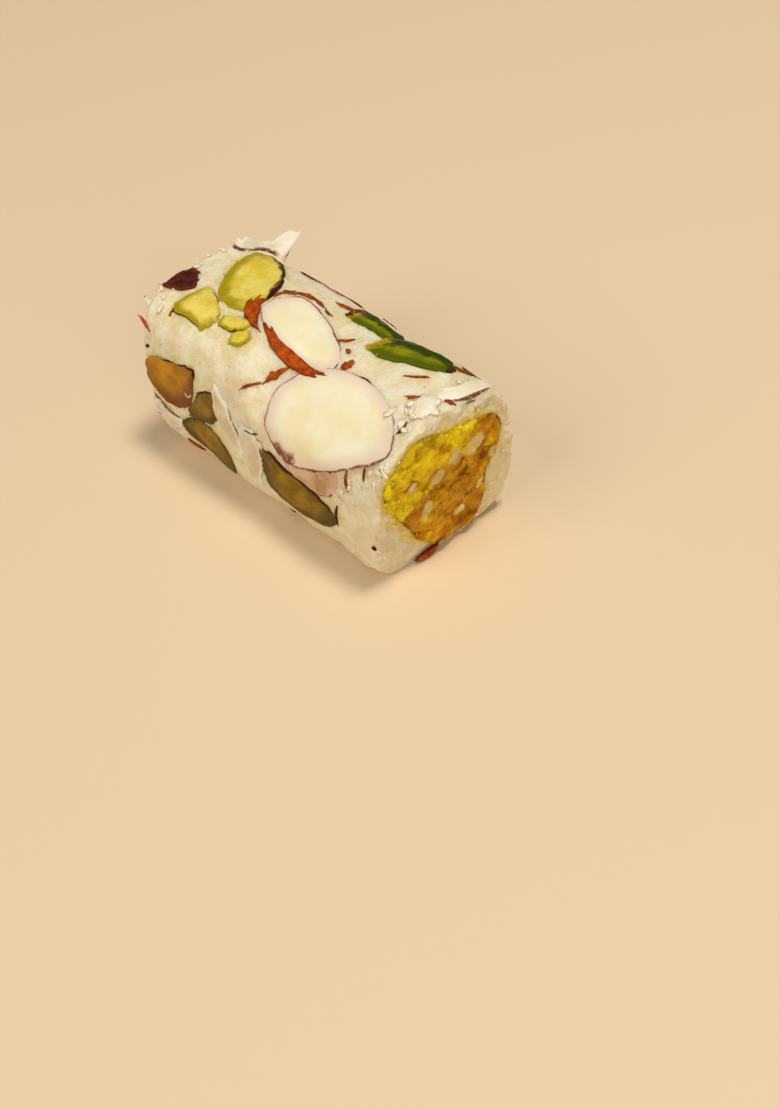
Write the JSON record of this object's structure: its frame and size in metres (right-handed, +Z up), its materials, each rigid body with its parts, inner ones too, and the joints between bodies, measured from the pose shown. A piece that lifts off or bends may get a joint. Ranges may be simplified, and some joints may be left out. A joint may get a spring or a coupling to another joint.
{
  "type": "cashew roll",
  "caption": "Cut log of pale cashew paste round a golden syrupy core, with almond slices, pistachio pieces and nut skin pressed into its skin.",
  "frame": {"origin": "middle of the bounding box in plan, on the surface that the roll lies on", "axes": "+X along the roll towards the cut end that leans back more, +Y across it towards its plainer side, +Z up"},
  "size_m": [0.054, 0.0284, 0.0264],
  "materials": {
    "cashew_paste": "soft matte cream paste, faintly translucent, with a fine grain",
    "golden_core": "wet sugared golden yellow core, crumbly and glistening",
    "almond": "smooth ivory almond flesh with a thin brown rim",
    "almond_skin": "thin reddish brown almond skin, finely ribbed",
    "dark_skin": "dark purple brown nut skin with a slight sheen",
    "pistachio": "yellow green pistachio flesh, waxy, with a purple brown skin line",
    "olive_pistachio": "olive amber pistachio flesh, waxy and translucent",
    "green_pistachio": "deep green pistachio sliver, lighter along its cut"
  },
  "bodies": {
    "root": {"cashew_paste": "cashew_paste", "golden_core": "golden_core", "almond_slice_round": "almond", "almond_slice_oval": "almond", "almond_flake_top": "almond", "almond_flake_corner": "almond", "almond_flake_tan": "almond", "almond_flake_side": "almond", "almond_flake_curved": "almond", "almond_flake_far": "almond", "almond_flake_standing": "almond", "almond_slice_back": "almond", "almond_slice_back_oval": "almond", "almond_slice_under": "almond", "almond_flake_under": "almond", "skin_of_oval_far": "almond_skin", "skin_of_oval_low": "almond_skin", "skin_chip_back": "almond_skin", "skin_chip_on_cut": "almond_skin", "skin_chip_dark": "dark_skin", "pistachio_chunk_large": "pistachio", "pistachio_chunk_square": "pistachio", "pistachio_bit_low": "pistachio", "pistachio_bit_high": "pistachio", "pistachio_back_chunk": "pistachio", "pistachio_back_square": "pistachio", "pistachio_under_chunk": "pistachio", "pistachio_side_short": "olive_pistachio", "pistachio_side_long": "olive_pistachio", "pistachio_side_low": "olive_pistachio", "pistachio_side_sliver": "olive_pistachio", "pistachio_under_sliver": "olive_pistachio", "pistachio_sliver_thin": "green_pistachio", "pistachio_sliver_thick": "green_pistachio", "pistachio_back_sliver": "green_pistachio"}
  },
  "joints": []
}
